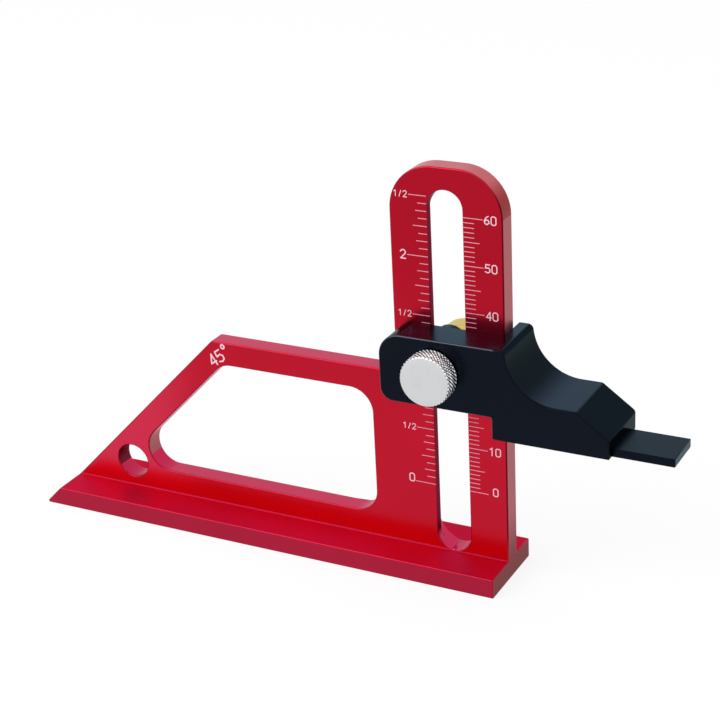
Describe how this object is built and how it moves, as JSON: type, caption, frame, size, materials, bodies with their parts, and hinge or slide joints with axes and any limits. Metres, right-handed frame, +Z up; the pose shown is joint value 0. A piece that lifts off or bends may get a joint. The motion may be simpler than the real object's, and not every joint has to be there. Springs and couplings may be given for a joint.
{
  "type": "table saw height gauge",
  "caption": "Standing height gauge with a slotted, graduated column and a clamped slider whose tongue reads the height of a saw blade.",
  "frame": {"origin": "on the table, under the centre line of the column's slot, in the plane of the column's front face", "axes": "+X along the body towards the slider's tongue, +Y from the scales' side to the back, +Z up from the table"},
  "size_m": [0.1501, 0.023, 0.0892],
  "materials": {
    "anodised_red": "satin red anodised aluminium",
    "anodised_black": "satin black anodised aluminium",
    "blackened_steel": "black oxide on ground steel",
    "screw_steel": "zinc plated",
    "knurled_steel": "turned and knurled, bright",
    "stud_steel": "cut thread, bright",
    "washer_nylon": "black nylon",
    "turned_brass": "turned brass",
    "white_print": "white printed marks"
  },
  "bodies": {
    "gauge": {"gauge_body": "anodised_red", "mm_graduations": "white_print", "inch_graduations": "white_print", "mm_numerals": "white_print", "inch_numerals": "white_print", "angle_mark": "white_print"},
    "slider": {"slider_block": "anodised_black", "reading_tongue": "blackened_steel", "tongue_screws": "screw_steel", "knob_washer": "washer_nylon"},
    "knob": {"knob_head": "knurled_steel", "knob_stud": "stud_steel"},
    "nut": {"clamp_nut": "turned_brass"}
  },
  "joints": [
    {"name": "slider_lift", "type": "slide", "parent": "gauge", "child": "slider", "axis": [0, 0, 1], "range_m": [-0.0363, 0.028]},
    {"name": "knob_turn", "type": "hinge", "parent": "slider", "child": "knob", "pos_m": [0, 0, 0.04865], "axis": [0, -1, 0], "range_deg": [0, 360]},
    {"name": "nut_draw", "type": "slide", "parent": "slider", "child": "nut", "axis": [0, 1, 0], "range_m": [0, 0.0007]}
  ],
  "couplings": [
    {"joint": "knob_turn", "follows": "nut_draw", "rad_per_m": 8976}
  ]
}
